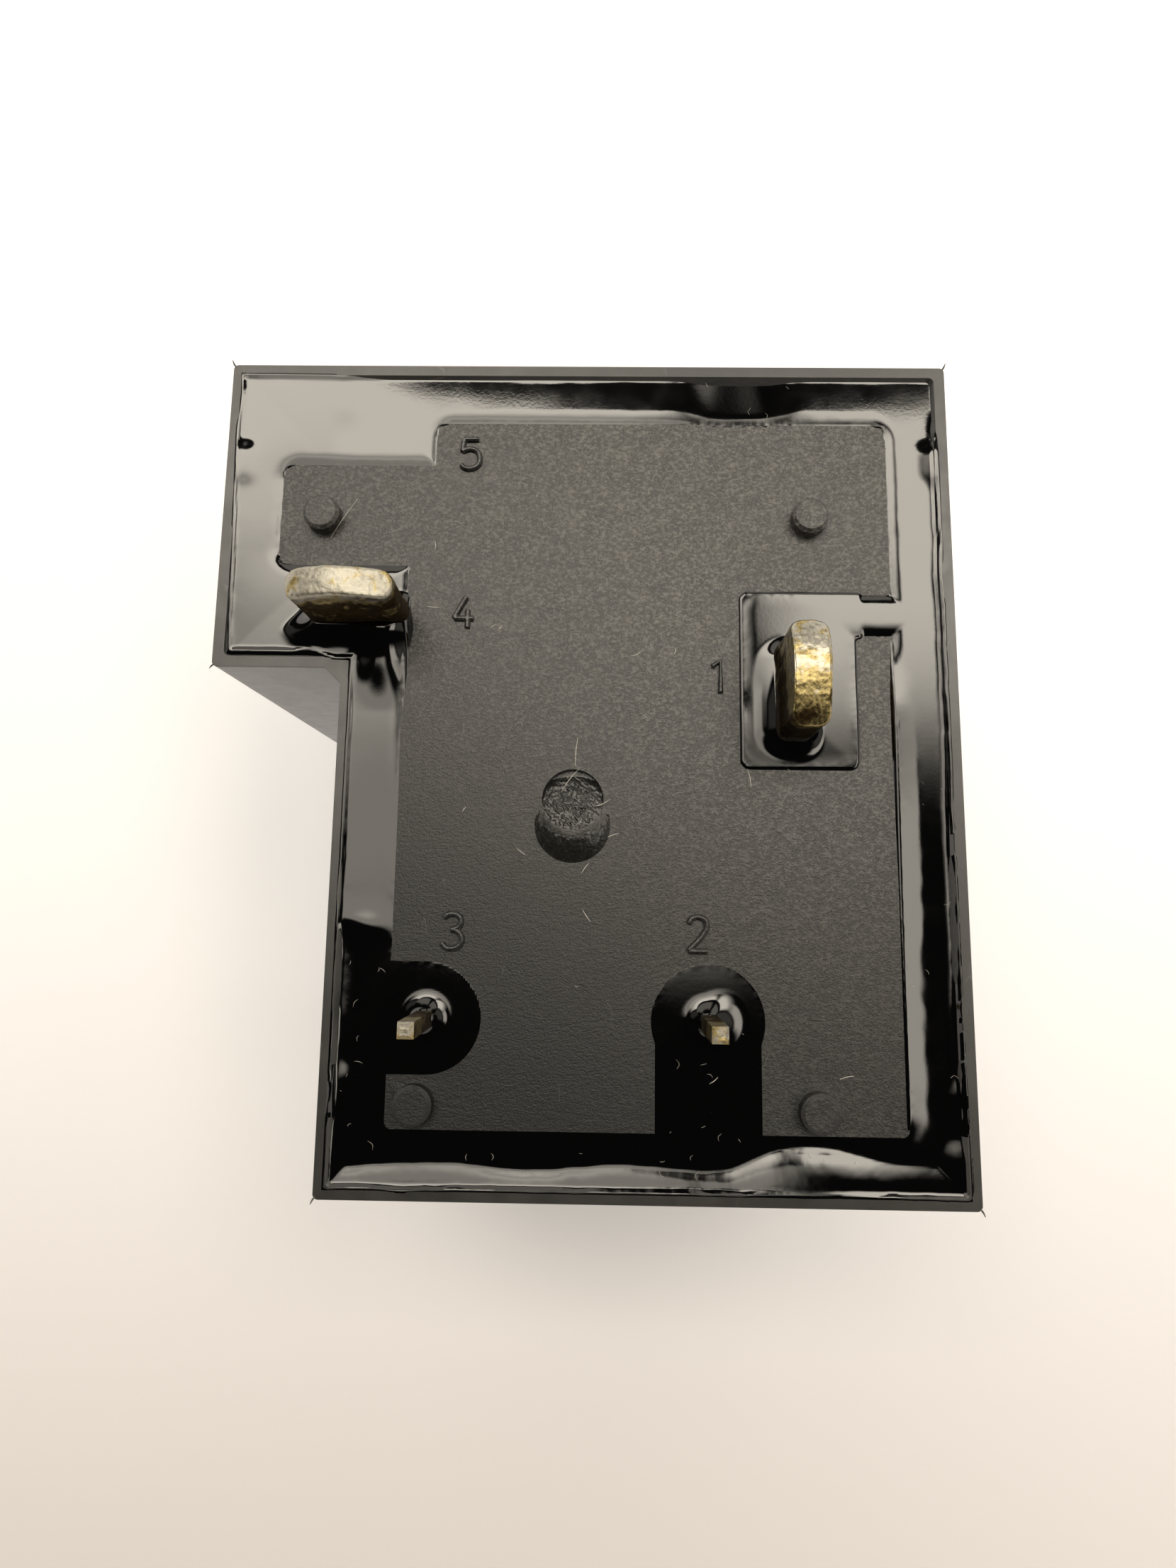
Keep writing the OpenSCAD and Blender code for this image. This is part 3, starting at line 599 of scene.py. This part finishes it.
world = bpy.data.worlds.new("room")
bpy.context.scene.world = world
world.use_nodes = True
room = world.node_tree.nodes["Background"]
room.inputs["Color"].default_value = (1.0, 0.97, 0.93, 1)
seen = world.node_tree.nodes.new("ShaderNodeLightPath")
level_seen = world.node_tree.nodes.new("ShaderNodeMapRange")
level_seen.inputs["To Min"].default_value = 0.02
level_seen.inputs["To Max"].default_value = 1.0
world.node_tree.links.new(seen.outputs["Is Camera Ray"],
                          level_seen.inputs["Value"])
world.node_tree.links.new(level_seen.outputs[0], room.inputs["Strength"])

deselect()
bpy.ops.mesh.primitive_circle_add(vertices=128, radius=0.34, fill_type="NGON")
floor = bpy.context.object
for reach, rise in ((1.12, 0.004), (1.1, 0.012), (1.08, 0.02), (1.06, 0.03),
                    (1.04, 0.04), (1.02, 0.05), (1.01, 0.06)):
    edge = max(v.co.xy.length for v in floor.data.vertices) - 1e-5
    edit(floor, "EDGE", lambda co: np.hypot(co[:, 0], co[:, 1]) > edge * 0.998,
         lambda: bpy.ops.mesh.extrude_edges_move(),
         lambda: bpy.ops.transform.resize(value=(reach, reach, 1)),
         lambda: bpy.ops.transform.translate(value=(0, 0, rise)))
take(floor)
bpy.ops.object.shade_smooth_by_angle(angle=math.radians(40))
floor.name = "floor"
floor.data.materials.append(floor_paper())


# ---- case ----

shell = merged_copy("cover", "case_shell")
soften_edges(shell, 0.05)
settle(shell, "case_shell", smooth=0, paint=case_black)
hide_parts("cover")


# ---- base ----

terminal_plate = merged_copy("base", "terminal_plate")
soften_edges(terminal_plate, 0.03)
settle(terminal_plate, "terminal_plate", smooth=0, paint=base_black)
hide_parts("base")


# ---- poured resin ----

def case_inset(p):
    """How far inside the outside of the case a point is."""
    wide = box_distance(p, left, notch_y, right, contact_side)
    narrow = box_distance(p, notch_x, coil_side, right, contact_side)
    return -np.minimum(wide, narrow)


def plate_distance(p, r=0.25):
    """Distance from the raised plate, below zero on the plate."""
    lobe = box_distance(p, plate_left, lobe_edge, step_x + 2, step_y, r)
    top = box_distance(p, step_x, notch_y + 0.42, plate_right, plate_top, r)
    coil = box_distance(p, coil_left, plate_end, plate_right, notch_y + 4.4,
                        r)
    d = np.minimum(np.minimum(lobe, top), coil)
    for hole in (box_distance(p, *pocket, r),
                 box_distance(p, pocket[2] - 1, pocket[3] - 1.62, right,
                              pocket[3]),
                 round_distance(p, pin_3, 2.0),
                 box_distance(p, left, pin_3.y - 2.0, pin_3.x, pin_3.y + 2.0),
                 round_distance(p, pin_2, 2.05),
                 box_distance(p, pin_2.x - 1.9, coil_side, pin_2.x + 1.9,
                              pin_2.y)):
        d = np.maximum(d, -hole)
    return d


def mound(v, middle, reach, power=2):
    """1 at the middle, falling smoothly away over the reach."""
    return np.exp(-((v - middle) / reach) ** power)


def wall_runs(co, uneven, ripple, ragged):
    """Level of the resin, and how it runs up to each outer wall."""
    x, y = co[:, 0], co[:, 1]
    inset = case_inset(co)
    out = np.maximum(plate_distance(co, 0.7), 0)
    far = ramp(y, contact_side - 3.0, contact_side - 1.7)
    low = 1 - ramp(y, coil_side + 1.4, coil_side + 3.2)
    side = np.maximum(1 - far - low, 0)
    right_wall = side * ramp(x, right - 3, right - 1.5)
    lobe_wall = side * (1 - ramp(x, notch_x - 1.2, notch_x - 0.2))
    left_wall = np.maximum(side - right_wall - lobe_wall, 0)
    far_left = 1 - ramp(x, left + 3.6, left + 6.4)
    swell = mound(x, pin_2.x + 3.6, 2.1)
    full = ramp(y, pin_3.y + 4, notch_y - 1)

    # how far in from the outside the wall stays bare
    bare = (far * 0.32 + low * 0.32 + right_wall * 0.36 + left_wall * 0.3
            + lobe_wall * (0.26 + 0.3 * (1 - ramp(y, notch_y, plate_top)))
            + 0.03 * uneven + 0.01 * ripple + 0.003 * ragged)
    edge = np.maximum(inset - bare, 0)

    # wide, even slopes in the contact end, narrow climbs elsewhere
    across = np.clip(1 - edge / (edge + out + 1e-6), 0, 1)
    slope = np.clip((lobe_wall + far) * far_left
                    + left_wall * ramp(y, pin_3.y + 2.6, pin_3.y + 3.6)
                    * (1 - ramp(y, notch_y, notch_y + 2)), 0, 1)
    width = (far * 0.5 + right_wall * 0.6 + left_wall * 0.8 + lobe_wall
             + low * (0.82 + 1.05 * swell + 0.1 * np.sin(x * 0.9)
                      + 0.4 * ramp(x, right - 5, right - 1.6)))
    climb = (right_wall * 0.08 + left_wall * 0.16
             + lobe_wall * 0.1 + low * (0.17 + 0.27 * swell))
    near = np.clip(1 - edge / width, 0, 1)
    lip = near ** 0.6
    lip = 0.75 * lip * lip * (3 - 2 * lip) + 0.25 * near
    height = level + 0.12 * full - 0.2 * low * swell
    height += slope * (rim - 0.03 - height) * across ** 1.15 \
        + (1 - slope) * climb * (low * lip + (1 - low) * near ** 2)

    # a thin film at the very edge, and none on the bare wall
    film = mound(edge, 0, 0.16, 4) * (1 - 0.9 * far * (1 - far_left))
    height += np.clip(rim + 0.012 - height, 0, 1) * film
    return height - np.clip(bare - inset, 0, 0.1)


def catch_lumps(co):
    """Resin heaped at the catches, and one drop on the coil end's side."""
    x, y = co[:, 0], co[:, 1]
    height = 0.09 * mound(x, coil_left - 1.0, 0.7) \
        * mound(y, pin_3.y + 3.1, 0.55)
    for at_side, x0, y0 in catches:
        height += 0.05 * mound(x, x0 - at_side * 0.7, 0.4) \
            * mound(y, y0, 0.8, 4)
    return height


def plate_edge(co, ripple, ragged):
    """How the resin rolls down to the plate, or creeps up beside it."""
    x, y = co[:, 0], co[:, 1]
    out = np.maximum(plate_distance(co, 0.7), 0)
    far = ramp(y, contact_side - 3.0, contact_side - 1.7)
    full = ramp(y, pin_3.y + 4, notch_y - 1)
    gap = mound(x, common.x - 1.9, 1.9, 4)
    right_side = ramp(x, plate_right - 0.4, plate_right)
    hollow = right_side * (1 - ramp(y, 2, 5))
    width = 0.55 + 0.4 * right_side * hollow
    near = np.clip(1 - out / (width * (1 + 0.05 * ripple)), 0, 1)
    roll = full * (1 - hollow) * (1 - 0.92 * far * gap)
    roll *= 1 - (box_distance(co, *pocket) < 0.3) \
        * (1.25 - 0.55 * ramp(y, common.y - 1.4, common.y + 1))
    return ((0.085 * width * hollow - 0.07 * roll) * near ** 2
            + 0.002 * ragged * near ** 4
            - 0.06 * np.clip(y - contact_side + 2.8, 0, 3) * gap)


def terminal_creep(co):
    """Skirts of resin up the terminals, and the run down the neck."""
    x, y = co[:, 0], co[:, 1]
    height = 0.34 * mound(x, coil_left - 0.85, 0.75) \
        * ramp(y, opened.y - 3.9, opened.y - 1.1) \
        * (1 - ramp(y, opened.y - 1.0, opened.y + 0.4))
    lean_1 = ramp((common.x - x) * 0.8 + (common.y - y) * 0.6, -0.9, 1.0)
    lean_4 = 1 - ramp(y, opened.y - 0.9, opened.y + 0.3)
    for distance, up, width in (
            (box_distance(co, common.x - common_half, common.y - blade_half,
                          common.x + common_half, common.y + blade_half, 0.5),
             0.12 + 0.18 * lean_1, 0.5 + 0.34 * lean_1),
            (box_distance(co, opened.x - blade_half, opened.y - open_half,
                          opened.x + blade_half, opened.y + open_half, 0.4),
             0.12 + 0.4 * lean_4, 0.5 + 0.9 * lean_4),
            (round_distance(co, pin_2, 0.28), 0.34,
             0.72 + 0.5 * towards(co, pin_2, 0.97, -0.1)),
            (round_distance(co, pin_3, 0.28), 0.34, 0.72)):
        near = np.clip(1 - np.maximum(distance, 0) / width, 0, 1)
        height += up * near ** 1.8
    return height


def resin_height(co):
    """Level of the resin: it runs up to the rim, the plate and each pin."""
    uneven = waves(co, 9, 2.5, 5)
    ripple = waves(co, 2.2, 0.8, 8)
    ragged = waves(co, 0.7, 0.22, 11)
    out = np.maximum(plate_distance(co, 0.7), 0)
    return (wall_runs(co, uneven, ripple, ragged) + catch_lumps(co)
            + plate_edge(co, ripple, ragged) + terminal_creep(co)
            + 0.0015 * uneven * np.minimum(1, out / 0.6)
            - np.clip(-plate_distance(co) - 0.1, 0, 0.2) * 1.5)


def pour_resin():
    """A fine grid laid in the channel and raised to the resin's level."""
    step = 0.086
    wide, long = right - left - 0.2, contact_side - coil_side - 0.2
    deselect()
    bpy.ops.mesh.primitive_grid_add(
        x_subdivisions=int(wide / step), y_subdivisions=int(long / step),
        size=1)
    piece = bpy.context.object
    co = corners(piece)
    co[:, 0] = (co[:, 0] * wide + (left + right) / 2)
    co[:, 1] = (co[:, 1] * long + (coil_side + contact_side) / 2)
    set_corners(piece, co)
    edit(piece, "FACE",
         lambda c: (case_inset(c) < 0.12) | (plate_distance(c) < -0.26)
         | (box_distance(c, common.x - 0.4, common.y - 1.6, common.x + 0.4,
                         common.y + 1.6) < 0)
         | (box_distance(c, opened.x - 1.6, opened.y - 0.3, opened.x + 1.6,
                         opened.y + 0.3) < 0),
         lambda: bpy.ops.mesh.delete(type="FACE"))
    co = corners(piece)
    co[:, 2] = resin_height(co)
    set_corners(piece, co * MM)
    finish_modifier(piece, "SOLIDIFY", thickness=0.5 * MM, offset=-1)
    return settle(piece, "poured_resin", smooth=60, paint=epoxy)


resin = pour_resin()
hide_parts("sealing_resin")


# ---- vent, melted shut ----

def vent_scar():
    """Tilted, scratched melt over the vent: a hollow above, a swell below."""
    deselect()
    bpy.ops.mesh.primitive_grid_add(x_subdivisions=110, y_subdivisions=140,
                                    size=1)
    piece = bpy.context.object
    co = corners(piece) * (2.9, 3.6, 1) + (0, 0.36, 0)
    set_corners(piece, co)
    edit(piece, "FACE",
         lambda c: (round_distance(c, (0, 0), 1.41) > 0)
         & (round_distance(c, (-0.04, 0.94), 1.16) > 0),
         lambda: bpy.ops.mesh.delete(type="FACE"))
    co = corners(piece)
    u, v = co[:, 0], co[:, 1]
    scored = waves(np.stack([u * 0.8 + v * 0.9, (v - u) * 0.25], 1),
                   0.5, 0.09, 21, 40)
    rough = waves(co, 0.4, 0.1, 4, 40)
    slope = -0.3 + 0.283 * (2.08 - v) + 0.016 * rough + 0.018 * scored
    swell = 0.37 * (1 - (u * u + v * v) / 1.99) + 0.003 * rough
    sharp = 14.0
    co[:, 2] = -np.log(np.exp(-slope * sharp) + np.exp(-swell * sharp)) / sharp
    co[:, 2] = np.maximum(co[:, 2], -0.3) + plate
    set_corners(piece, (co + (vent.x, vent.y, 0)) * MM)
    finish_modifier(piece, "SOLIDIFY", thickness=0.12 * MM, offset=-1)
    return settle(piece, "vent_scar", smooth=70, paint=figure_black)


vent_scar()


# ---- fibres of dust, and flash on the rim ----

def fine_lines(name, lines, thick, finish):
    """Thin tapering hairs through the given points, and their thickness."""
    hair = bpy.data.curves.new(name, "CURVE")
    hair.dimensions = "3D"
    hair.bevel_depth = thick * MM
    hair.bevel_resolution = 1
    hair.use_fill_caps = True
    for points in lines:
        spline = hair.splines.new("BEZIER")
        spline.bezier_points.add(len(points) - 1)
        for n, (point, place) in enumerate(zip(spline.bezier_points, points)):
            point.co = [v * MM for v in place]
            point.handle_left_type = point.handle_right_type = "AUTO"
            point.radius = 1.0 if 0 < n < len(points) - 1 else 0.4
        spline.resolution_u = 4
    piece = bpy.data.objects.new(name, hair)
    bpy.context.scene.collection.objects.link(piece)
    take(piece)
    bpy.ops.object.convert(target="MESH")
    return settle(piece, name, smooth=60, paint=finish)


def lint():
    f = Finish("pale_lint", Roughness=0.6)
    f.set("Base Color", f.mix(f.noise(2.0, 2), (0.62, 0.58, 0.5),
                              (0.85, 0.82, 0.76)))
    return f.m


def hair_line(x, y, z, length, turn, bow, lift=0.0):
    """Three points of a fibre: its middle, length, direction and bow."""
    dx, dy = math.cos(turn) * length / 2, math.sin(turn) * length / 2
    nx, ny = -math.sin(turn) * bow, math.cos(turn) * bow
    return [(x - dx, y - dy, z), (x + nx, y + ny, z + lift / 2),
            (x + dx, y + dy, z + lift)]


lint_from = random.Random(12)
fibres = [
    hair_line(opened.x - 0.8, contact_side - 6.45, plate + 0.03, 1.8, 0.93,
              0.03, 0.35),
    hair_line(vent.x + 0.12, vent.y + 2.75, plate + 0.02, 1.1, 1.5, 0.03),
    hair_line(vent.x - 0.08, vent.y + 1.66, plate + 0.05, 1.15, 0.9, 0.04,
              0.3),
    hair_line(vent.x + 1.06, vent.y + 0.82, plate + 0.06, 0.75, 0.4, -0.06,
              0.12),
    hair_line(vent.x + 0.5, vent.y - 1.6, plate + 0.02, 0.5, 0.95, 0.02),
    hair_line(right - 1.55, common.y + 1.0, level + 0.05, 1.5, -1.15, 0.05),
    hair_line(pocket[0] + 0.2, pocket[1] - 0.45, plate + 0.02, 0.7, -1.4,
              0.03),
]
for _ in range(16):
    fibres.append(hair_line(
        lint_from.uniform(coil_left + 0.5, plate_right - 0.5),
        lint_from.uniform(plate_end + 0.5, plate_top - 0.5), plate + 0.012,
        lint_from.uniform(0.2, 0.6), lint_from.uniform(0, math.pi),
        lint_from.uniform(-0.05, 0.05)))
short = []
for _ in range(64):
    along = lint_from.uniform(0, 1)
    x, y = lint_from.choice((
        (notch_x + 0.7 + 1.4 * along, lint_from.uniform(coil_side + 1, -4)),
        (lint_from.uniform(notch_x + 1, right - 1), coil_side + 0.8 + along),
        (right - 2.2 + 1.5 * along, lint_from.uniform(coil_side + 1, 6)),
        (pin_2.x - 1.5 + 3 * along, lint_from.uniform(coil_side + 1.5,
                                                      pin_2.y + 1)),
        (lint_from.uniform(0, right - 1), contact_side - 2.1 + 1.5 * along),
        (lint_from.uniform(coil_left, plate_right),
         lint_from.uniform(plate_end, plate_top))))
    length = lint_from.uniform(0.04, 0.1) * lint_from.uniform(1, 4)
    short.append(hair_line(x, y, plate + 0.03, length,
                           lint_from.uniform(0, math.pi),
                           lint_from.uniform(-0.35, 0.35) * length))
fine_lines("dust_specks", short, 0.0045, lint())
fine_lines("dust_fibres", fibres, 0.011, lint())

flash = []
for x, y, sx, sy in ((left, contact_side, -1, 1), (right, contact_side, 1, 1),
                     (right, coil_side, 1, -1), (notch_x, coil_side, -1, -1),
                     (left, notch_y, -1, -1)):
    flash.append([(x - sx * 0.12, y - sy * 0.12, rim - 0.02),
                  (x - sx * 0.03, y - sy * 0.02, rim + 0.03),
                  (x + sx * 0.02, y + sy * 0.12, rim + 0.12)])
fine_lines("rim_flash", flash, 0.035, case_black)


# ---- terminals ----

def tinned_blade(node, name, finish, seed, heap):
    """Coat of tin over the standing end of a blade, lumpy from the dip."""
    piece = merged_copy(node, name)
    edit(piece, "VERT", everywhere,
         lambda: bpy.ops.mesh.bisect(plane_co=(0, 0, blade_foot * MM),
                                     plane_no=(0, 0, 1), clear_inner=True,
                                     use_fill=True))
    finish_modifier(piece, "REMESH", mode="VOXEL", voxel_size=0.05 * MM)
    finish_modifier(piece, "SMOOTH", factor=0.5, iterations=4)
    co = corners(piece) / MM
    lumps = np.array([noise.fractal(Vector(c) * 1.1 + Vector((seed, 0, 0)),
                                    0.8, 2, 4) for c in co])
    out = np.zeros(len(co) * 3)
    piece.data.vertices.foreach_get("normal", out)
    coat = np.maximum(0.035 + lumps * 0.035, 0.015)
    for place, size, more in heap:
        coat += more * np.exp(-np.sum((co - place) ** 2, 1) / size ** 2)
    set_corners(piece, (co + out.reshape(-1, 3) * coat[:, None]) * MM)
    finish_modifier(piece, "SMOOTH", factor=0.5, iterations=2)
    return settle(piece, name, smooth=60, paint=finish)


tinned_blade("common_terminal", "tinned_blade_1", blade_gold, 3,
             [((common.x + 0.2, common.y + 0.9, tip), 0.6, 0.05)])
tinned_blade("open_terminal", "tinned_blade_4", blade_tin, 9,
             [((opened.x - 1.3, opened.y - 0.2, tip), 0.7, 0.07),
              ((opened.x + 0.2, opened.y + 0.3, tip), 0.6, 0.04)])


# ---- numerals ----

NUMERALS = {
    "1": [[(0.22, 1.3), (0.62, 1.6), (0.62, 0)]],
    "2": [[(0.08, 1.28), (0.2, 1.5), (0.5, 1.6), (0.82, 1.48), (0.92, 1.2),
           (0.8, 0.88), (0.06, 0.05)], [(0.06, 0.03), (0.96, 0.03)]],
    "3": [[(0.1, 1.4), (0.28, 1.56), (0.52, 1.6), (0.8, 1.5), (0.9, 1.24),
           (0.78, 0.98), (0.45, 0.87)],
          [(0.45, 0.87), (0.8, 0.76), (0.96, 0.45), (0.84, 0.13), (0.5, 0),
           (0.2, 0.06), (0.04, 0.25)]],
    "4": [[(0.62, 1.6), (0.02, 0.5)], [(0.02, 0.5), (1.0, 0.5)],
          [(0.7, 0.95), (0.7, 0)]],
    "5": [[(0.9, 1.58), (0.16, 1.58)], [(0.16, 1.58), (0.08, 0.92)],
          [(0.08, 0.92), (0.3, 1.04), (0.55, 1.06), (0.84, 0.92),
           (0.97, 0.58), (0.88, 0.2), (0.5, 0), (0.2, 0.06), (0.04, 0.22)]],
}


def numeral(sign, x, y, tall=1.25):
    """Plain raised numeral, drawn with a round line half sunk in the plate."""
    line = bpy.data.curves.new("numeral_" + sign, "CURVE")
    line.dimensions = "3D"
    line.bevel_depth = 0.11 * MM
    line.bevel_resolution = 3
    line.use_fill_caps = True
    size = tall / 1.6
    for stroke in NUMERALS[sign]:
        spline = line.splines.new("BEZIER")
        spline.bezier_points.add(len(stroke) - 1)
        for point, (u, v) in zip(spline.bezier_points, stroke):
            point.co = ((x + (u - 0.5) * size) * MM,
                        (y + (v - 0.8) * size) * MM, (plate + 0.045) * MM)
            bent = len(stroke) > 3
            point.handle_left_type = point.handle_right_type = (
                "AUTO" if bent else "VECTOR")
        spline.resolution_u = 5
    piece = bpy.data.objects.new("numeral_" + sign, line)
    bpy.context.scene.collection.objects.link(piece)
    take(piece)
    bpy.ops.object.convert(target="MESH")
    finish_modifier(piece, "REMESH", mode="VOXEL", voxel_size=0.024 * MM)
    finish_modifier(piece, "SMOOTH", factor=0.6, iterations=3)
    return settle(piece, "numeral_" + sign, smooth=60, paint=figure_black)


for sign, x, y in (("5", step_x + 1.35, plate_top - 1.3),
                   ("4", opened.x + 3.96, opened.y + 0.06),
                   ("1", common.x - 2.77, common.y + 0.62),
                   ("3", pin_3.x + 0.86, pin_3.y + 3.1),
                   ("2", pin_2.x - 0.36, pin_2.y + 3.1)):
    numeral(sign, x, y)


# ---- finishes of the solids that stay ----

def paint(finish, *names):
    for name in names:
        nodes[name].data.materials.clear()
        nodes[name].data.materials.append(finish)


paint(blade_gold, "common_terminal")
paint(blade_tin, "open_terminal")
paint(pin_gold, "coil_pin_2", "coil_pin_3")
paint(moulded_nylon("bobbin_nylon", (0.52, 0.48, 0.38), (0.66, 0.62, 0.5)),
      "bobbin")
paint(moulded_nylon("coil_tape_film", (0.5, 0.32, 0.03), (0.66, 0.44, 0.06)),
      "coil_tape")
paint(wound_wire(), "coil_winding")
paint(plain_metal("soldered_lead", (0.4, 0.2, 0.1), (0.7, 0.42, 0.24), 0.3),
      "coil_leads")
paint(plain_metal("zinc_plated_iron", (0.42, 0.42, 0.4), (0.6, 0.6, 0.57),
                  0.34, (1, 1, 9), (0.5, 0.48, 0.4)),
      "core", "yoke", "armature")
paint(plain_metal("spring_bronze", (0.5, 0.29, 0.13), (0.72, 0.45, 0.22),
                  0.26), "contact_blade", "back_stop")
paint(plain_metal("spring_steel", (0.4, 0.4, 0.41), (0.62, 0.62, 0.63), 0.26,
                  (12, 1, 1)), "return_spring")
paint(plain_metal("silver_alloy", (0.62, 0.6, 0.56), (0.85, 0.84, 0.8), 0.24,
                  (3, 3, 3), (0.45, 0.42, 0.36)),
      "moving_contact", "fixed_contact")
paint(plain_metal("rivet_brass", (0.42, 0.3, 0.11), (0.68, 0.52, 0.24), 0.3,
                  (3, 3, 3)), "armature_rivets", "spring_rivet")
paint(woven_copper(), "copper_braid")

scene = bpy.context.scene
scene.view_settings.view_transform = "Standard"
